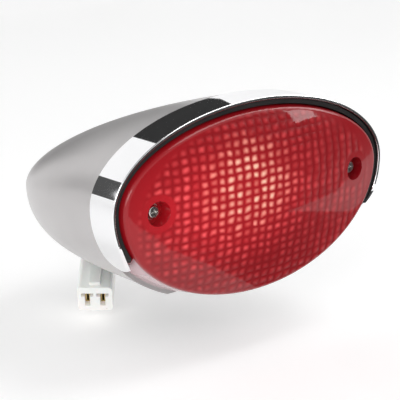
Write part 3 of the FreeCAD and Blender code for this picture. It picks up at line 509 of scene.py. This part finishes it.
# painted light and shade in the lens colour: a shaded rim red, a lit middle red, painted shade in the
# grooves, painted glints on the pillows and a painted hot pink glow
shaded_rim_red = (0.30, 0.005, 0.010, 1)
lit_middle_red = (0.62, 0.012, 0.022, 1)
painted_groove_shade = (0.20, 0.004, 0.007, 1)
painted_grain_glint = (1.0, 0.10, 0.11, 1)
painted_hot_pink = (1.0, 0.62, 0.44, 1)
red_with_painted_light = mix_colours(tree, painted_glow_mask, shaded_rim_red, lit_middle_red)
# painted shade in the low places between the pillows
low_places = math_node(tree, "SUBTRACT", 1.0, math_node(tree, "POWER", grainy, 0.7))
groove_shade_mask = math_node(tree, "MULTIPLY", open_area, low_places)
red_with_painted_light = mix_colours(tree, math_node(tree, "MULTIPLY", groove_shade_mask, GROOVE_SHADE_SHARE), red_with_painted_light, painted_groove_shade)
# painted highlight: glints of the reflector's light on the pillows, painted into the colour and stronger
# where the painted glow is
glow = math_node(tree, "MULTIPLY", painted_sparkle_level, math_node(tree, "MULTIPLY_ADD", painted_glow_mask, 0.75, 0.2))
red_with_painted_glints = mix_colours(tree, glow, red_with_painted_light, painted_grain_glint)
# painted highlight: the grains turn hot pink inside the painted hot spot
sparkle = math_node(tree, "MULTIPLY", math_node(tree, "POWER", painted_sparkle_level, 1.15), painted_hot_spot)
join(tree, mix_colours(tree, sparkle, red_with_painted_glints, painted_hot_pink), shader.inputs["Base Color"])
add_bump(tree, shader, math_node(tree, "MULTIPLY", grainy, open_area), 0.35, 0.0006)
dress(red, "red_lens")
print("finish", red.name, "has", len(red.node_tree.nodes), "nodes")

# %% [markdown]
# Below the red lens is a clear window that lights the number plate. It is moulded in the same
# way but left clear, so it needs real transmission. A little haze keeps it from looking like
# empty space, and a faint pink is painted into its colour for the red light from the red part beside it.

# %% Clear window
window, tree, shader = start_finish("clear_acrylic", transmission_weight=0.55, ior=1.49,
                                    coat_weight=0.5, coat_roughness=0.04)
where = object_coordinates(tree)
# painted light: the pink in these tones stands for red light from the red lens beside the window
body = place_group(tree, clouds_and_grain, where, Cloud_Scale=50.0, Grain_Scale=600.0,
                   Tone=(0.93, 0.64, 0.68, 1), Other_Tone=(0.88, 0.57, 0.62, 1), Smooth=0.14, Rough=0.30)
join(tree, body.outputs["Colour"], shader.inputs["Base Color"])
join(tree, body.outputs["Roughness"], shader.inputs["Roughness"])
add_bump(tree, shader, body.outputs["Height"], 0.06, 0.0004)
dress(window, "plate_window")
print("finish", window.name, "on plate_window")

# %% [markdown]
# The small parts each get their own tones. Rubber is nearly black, matt and slightly dusty.
# Zinc plated steel is grey with a soft shine, brass is warm, and the moulded insulator is
# glossy. The same recipe serves all of them, because they differ only in its numbers.

# %% Small parts
rubber = everyday_finish("black_rubber", (0.018, 0.017, 0.017), (0.030, 0.028, 0.028), 0.55, 0.75,
                         grain_scale=2600, bump=0.15, speck_tone=(0.12, 0.12, 0.11), speck_size=0.05,
                         specular_ior_level=0.15)
dress(rubber, "lens_gasket", "base_pad", "lead_grommet", "socket_boot")
zinc = everyday_finish("zinc_plate", (0.62, 0.61, 0.59), (0.52, 0.51, 0.50), 0.18, 0.34, grain_scale=1800,
                       bump=0.05, metallic=1.0)
dress(zinc, "lens_screw_left", "lens_screw_right", "screw_washers", "plate_screws")
dull = everyday_finish("dull_steel", (0.42, 0.41, 0.40), (0.34, 0.33, 0.31), 0.35, 0.55,
                       cloud_scale=90, grain_scale=1300, bump=0.12, metallic=0.9,
                       speck_tone=(0.22, 0.15, 0.10), speck_size=0.07)
dress(dull, "mount_plate", "weld_nuts")
socket_plate = everyday_finish("socket_plate", (0.60, 0.57, 0.50), (0.50, 0.47, 0.42), 0.22, 0.38,
                               bump=0.06, metallic=1.0)
dress(socket_plate, "socket_shell")
silvered = everyday_finish("silvered_reflector", (0.86, 0.86, 0.86), (0.78, 0.78, 0.79), 0.06, 0.14,
                           cloud_scale=70, grain_scale=500, bump=0.05, metallic=1.0)
dress(silvered, "reflector")
brass = everyday_finish("worn_brass", (0.62, 0.47, 0.22), (0.45, 0.34, 0.17), 0.22, 0.42, grain_scale=1500,
                        bump=0.07, metallic=1.0, speck_tone=(0.25, 0.17, 0.08), speck_size=0.06)
dress(brass, "socket_rivets", "bulb_cap", "contact_plungers", "connector_terminals")
solder = everyday_finish("soft_solder", (0.50, 0.50, 0.50), (0.36, 0.36, 0.37), 0.35, 0.55,
                         grain_scale=1200, bump=0.2, metallic=0.9)
dress(solder, "bulb_contacts")
board = everyday_finish("pressed_board", (0.20, 0.105, 0.05), (0.14, 0.07, 0.035), 0.5, 0.7,
                        grain_scale=900, bump=0.2)
dress(board, "contact_carrier")
black_glass = everyday_finish("black_vitrite", (0.012, 0.012, 0.016), (0.02, 0.02, 0.026), 0.1, 0.22,
                              bump=0.05)
dress(black_glass, "bulb_insulator")
wire_metal = everyday_finish("support_wire", (0.32, 0.31, 0.30), (0.22, 0.21, 0.21), 0.3, 0.45,
                             bump=0.05, metallic=1.0)
dress(wire_metal, "bulb_posts")
wire_cover = everyday_finish("wire_cover", (0.30, 0.018, 0.015), (0.22, 0.014, 0.012), 0.35, 0.5, bump=0.05)
dress(wire_cover, "lead_wires")
glass = everyday_finish("bulb_glass", (0.97, 0.97, 0.97), (0.94, 0.95, 0.95), 0.01, 0.04,
                        bump=0.02, grain_scale=300, transmission_weight=1.0, ior=1.47)
dress(glass, "bulb_glass", "bulb_stem")
print("finishes so far", len(bpy.data.materials))

# %% [markdown]
# The sleeve over the wires is soft PVC, black with a slight sheen. Its own piece is the lead made
# at the start, already smooth, so it gets the finish without the shading helpers that the CAD
# pieces need. The part of it inside the shell is the CAD piece.

# %% Sleeve finish
pvc = everyday_finish("black_pvc", (0.016, 0.016, 0.017), (0.028, 0.028, 0.028), 0.38, 0.52,
                      grain_scale=2200, bump=0.08, speck_tone=(0.09, 0.09, 0.09), speck_size=0.05)
dress(pvc, "lead_inner")
lead.data.materials.clear()
lead.data.materials.append(pvc)
print("finish", pvc.name, "on lead_inner and", lead.name)

# %% [markdown]
# The connector is natural nylon, a warm white that lets a little light in. Nylon mouldings
# yellow with age, and unevenly, so its clouds run between a clean and a yellower cream.

# %% Connector
nylon = everyday_finish("cream_nylon", (0.99, 0.98, 0.95), (0.97, 0.95, 0.90), 0.36, 0.5,
                        cloud_scale=45, grain_scale=1200, bump=0.08, subsurface_weight=0.15,
                        speck_tone=(0.55, 0.50, 0.42), speck_size=0.05)
dress(nylon, "connector_housing")
print("finish", nylon.name, "on connector_housing")

# %% [markdown]
# The bulb's two filaments are fine coils. The CAD model holds the space with two short rods,
# and each is replaced by a real helix: a point that circles the rod's axis as it moves along.

# %% Filaments
def coil(name, low, high, turns=11, steps=10, wire=0.00011):
    """A helix that fills a box whose long side runs along X."""
    centre = (low + high) / 2
    radius = (high.z - low.z) / 2 - wire
    curve = bpy.data.curves.new(name, "CURVE")
    curve.dimensions = "3D"
    count = turns * steps + 1
    spline = curve.splines.new("POLY")
    spline.points.add(count - 1)
    for i, control in enumerate(spline.points):
        share = i / (count - 1)
        angle = 2 * math.pi * turns * share
        x = low.x + (high.x - low.x) * share
        control.co = (x, centre.y + radius * math.cos(angle), centre.z + radius * math.sin(angle), 1)
    curve.bevel_depth = wire
    curve.bevel_resolution = 2
    line = bpy.data.objects.new(name, curve)
    bpy.context.scene.collection.objects.link(line)
    piece = as_mesh_piece(line)
    piece.data.materials.clear()
    piece.data.materials.append(wire_metal)
    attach(piece, "bulb")
    return piece


filament_low, filament_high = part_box("bulb_filaments")
FILAMENT_SPAN = 0.0029
first_high = Vector((filament_low.x + FILAMENT_SPAN, filament_high.y, filament_high.z))
second_low = Vector((filament_high.x - FILAMENT_SPAN, filament_low.y, filament_low.z))
first = coil("filament_coil_1", filament_low, first_high)
second = coil("filament_coil_2", second_low, filament_high)
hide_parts("bulb_filaments")
print("filament box in mm", [round(1000 * v, 1) for v in filament_high - filament_low])

# %% [markdown]
# Behind the contact carrier sits a coil spring. When the bulb is pushed in, the spring gets
# shorter, and a rigid CAD piece can't do that. So its place is taken by a coil of the same size,
# made as a mesh. It is built at its full resting length.

# %% Contact spring
SPRING_WIRE = 0.00045
SPRING_TURNS = 3
SPRING_STEPS = 24 * SPRING_TURNS
spring_low, spring_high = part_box("carrier_spring")
spring_middle = (spring_low + spring_high) / 2
spring_radius = (spring_high.x - spring_low.x) / 2 - SPRING_WIRE
front_end = spring_low.y + SPRING_WIRE
back_end = spring_high.y - SPRING_WIRE
curve = bpy.data.curves.new("contact_spring", "CURVE")
curve.dimensions = "3D"
spline = curve.splines.new("POLY")
spline.points.add(SPRING_STEPS)
for i, control in enumerate(spline.points):
    share = i / SPRING_STEPS
    angle = 2 * math.pi * SPRING_TURNS * share
    x = spring_middle.x + spring_radius * math.cos(angle)
    z = spring_middle.z + spring_radius * math.sin(angle)
    control.co = (x, front_end + (back_end - front_end) * share, z, 1)
curve.bevel_depth = SPRING_WIRE
curve.bevel_resolution = 4
curve.use_fill_caps = True
spring_line = bpy.data.objects.new("contact_spring", curve)
bpy.context.scene.collection.objects.link(spring_line)
contact_spring = as_mesh_piece(spring_line)
contact_spring.data.materials.clear()
contact_spring.data.materials.append(zinc)
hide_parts("carrier_spring")
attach(contact_spring, "housing")
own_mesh(contact_spring)

# %% [markdown]
# The light stands over a white paper sweep: a floor that curves up into a wall, so no horizon
# shows. The floor lies just below the lowest piece. The sweep is one mesh made by moving a
# profile sideways, and it glows a little, so that shadows on it stay faint.

# %% Sweep
def studio_sweep(floor_z, half_width=4.0, front=-3.0, back=2.2, rise=2.6, bend=1.2, steps=14):
    profile = [(front, floor_z), (back - bend, floor_z)]
    for i in range(1, steps + 1):
        angle = math.pi / 2 * i / steps
        profile.append((back - bend + bend * math.sin(angle), floor_z + bend - bend * math.cos(angle)))
    profile.append((back, floor_z + rise))
    points = [(x, y, z) for x in (-half_width, half_width) for y, z in profile]
    count = len(profile)
    faces = [(i, i + 1, i + 1 + count, i + count) for i in range(count - 1)]
    mesh = bpy.data.meshes.new("studio_sweep")
    mesh.from_pydata(points, [], faces)
    for polygon in mesh.polygons:
        polygon.use_smooth = True
    sweep = bpy.data.objects.new("studio_sweep", mesh)
    bpy.context.scene.collection.objects.link(sweep)
    return sweep


FLOOR_GAP = 0.004    # between the lowest piece and the floor
PAPER_GLOW = 0.27
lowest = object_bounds()[0].z
sweep = studio_sweep(lowest - FLOOR_GAP)
paper = everyday_finish("white_paper", (0.86, 0.86, 0.86), (0.84, 0.84, 0.84), 0.75, 0.85, cloud_scale=3,
                        grain_scale=400, bump=0.02)
paper_shader = paper.node_tree.nodes["Principled BSDF"]
paper_shader.inputs["Emission Color"].default_value = (1, 1, 1, 1)
paper_shader.inputs["Emission Strength"].default_value = PAPER_GLOW
sweep.data.materials.append(paper)
print("floor at", round(1000 * (lowest - FLOOR_GAP), 1), "mm")

# %% [markdown]
# Chrome and gloss need something to reflect. The room is a white glow that dims overhead, with
# seven cards in it. Five are dark: the flags that draw the crisp shapes in the chrome and the
# softer ones in the shell and lens. Two glow: crest_strip makes the long highlight on the lens's
# upper edge, and left_strip brightens the bezel. Only reflections see the cards. They are
# staged, so they are no part of the light itself, and from other angles they show up in the
# chrome at other places.

# %% Room and cards
def card(name, corners, shade=0.0, glow=0.0):
    """A flat card that only reflections see; its corners are measured from the lens centre."""
    mesh = bpy.data.meshes.new(name)
    mesh.from_pydata([tuple(LENS_CENTRE + Vector(c)) for c in corners], [], [tuple(range(len(corners)))])
    piece = bpy.data.objects.new(name, mesh)
    bpy.context.scene.collection.objects.link(piece)
    material, tree, shader = start_finish(name, roughness=1.0, emission_strength=glow)
    shader.inputs["Base Color"].default_value = (shade, shade, shade, 1)
    shader.inputs["Emission Color"].default_value = (1, 1, 1, 1)
    piece.data.materials.append(material)
    piece.visible_camera = False
    piece.visible_shadow = False
    piece.visible_diffuse = False
    piece.visible_transmission = False
    return piece


BEHIND = 0.9          # how far behind the lens centre the chrome flags and the shell flag stand
FLOOR_FLAG = -0.074   # just above the floor
card("left_flag", [(-0.80, BEHIND, 0.18), (-0.52, BEHIND, 0.12),
                   (-0.44, BEHIND, 0.50), (-0.60, BEHIND, 0.60)], 0.07)
card("top_flag", [(0.11, BEHIND, 0.92), (0.15, BEHIND, 0.60), (0.40, BEHIND, 0.50), (0.70, BEHIND, 0.40),
                  (0.70, BEHIND, 0.62), (0.30, BEHIND, 0.90)], 0.02)
card("shell_flag", [(0.08, BEHIND, -0.06), (0.62, BEHIND, -0.06),
                    (0.62, BEHIND, 0.28), (0.08, BEHIND, 0.32)], 0.17)
card("floor_flag", [(0.03, -0.015, FLOOR_FLAG), (0.30, -0.015, FLOOR_FLAG), (0.30, -0.055, FLOOR_FLAG),
                    (0.16, -0.052, FLOOR_FLAG), (0.125, -0.108, FLOOR_FLAG), (0.20, -0.10, FLOOR_FLAG),
                    (0.30, -0.135, FLOOR_FLAG), (1.6, -0.5, FLOOR_FLAG), (1.6, -2.4, FLOOR_FLAG),
                    (0.0, -2.4, FLOOR_FLAG), (0.0, -0.10, FLOOR_FLAG)], 0.03)
card("front_flag", [(0.0, -1.5, -0.06), (1.9, -0.45, -0.06), (1.9, -0.45, 0.50), (0.0, -1.5, 0.62)], 0.03)
card("crest_strip", [(0.42, -0.10, 0.93), (0.48, 0.16, 0.88), (0.86, 0.04, 0.58), (0.97, -0.34, 0.30),
                     (0.88, -0.46, 0.28), (0.76, -0.26, 0.52), (0.64, -0.12, 0.72)], glow=5.0)
card("left_strip", [(-0.80, -0.56, 0.15), (-0.80, -0.56, 0.50),
                    (-0.95, -0.25, 0.50), (-0.95, -0.25, 0.15)], glow=4.0)

world = bpy.data.worlds.new("studio_room")
world.use_nodes = True
room = world.node_tree
background = room.nodes["Background"]
direction = add_node(room, "ShaderNodeTexCoord")
height = add_node(room, "ShaderNodeSeparateXYZ")
join(room, direction.outputs["Generated"], height.inputs[0])
ceiling = add_node(room, "ShaderNodeMapRange", interpolation_type="SMOOTHSTEP")
ceiling.inputs["From Min"].default_value = 0.66
ceiling.inputs["From Max"].default_value = 0.85
join(room, height.outputs["Z"], ceiling.inputs["Value"])
WALL_WHITE = (0.93, 0.93, 0.93, 1)
CEILING_GREY = (0.30, 0.30, 0.30, 1)
room_glow = mix_colours(room, ceiling.outputs[0], WALL_WHITE, CEILING_GREY)
join(room, room_glow, background.inputs["Color"])
background.inputs["Strength"].default_value = 1.0
bpy.context.scene.world = world

# %% [markdown]
# Three soft boxes finish the light. A large one overhead and one on the left model the shell's
# roundness, and a small one in front and to the right gives the face its pale window shape.

# %% Soft boxes
def soft_box(name, offset, size, size_y, power):
    data = bpy.data.lights.new(name, "AREA")
    data.shape = "RECTANGLE"
    data.size = size
    data.size_y = size_y
    data.energy = power
    lamp = bpy.data.objects.new(name, data)
    bpy.context.scene.collection.objects.link(lamp)
    lamp.location = LENS_CENTRE + Vector(offset)
    towards = (LENS_CENTRE - lamp.location).normalized()
    lamp.rotation_euler = towards.to_track_quat("-Z", "Y").to_euler()
    return lamp


soft_box("overhead_box", (0.30, -0.30, 0.95), 0.50, 0.40, 2.4)
soft_box("front_box", (0.85, -0.69, 0.28), 0.10, 0.16, 0.35)
soft_box("left_box", (-0.72, -0.58, 0.42), 0.30, 0.30, 2.0)
bpy.context.scene.view_settings.view_transform = "Standard"
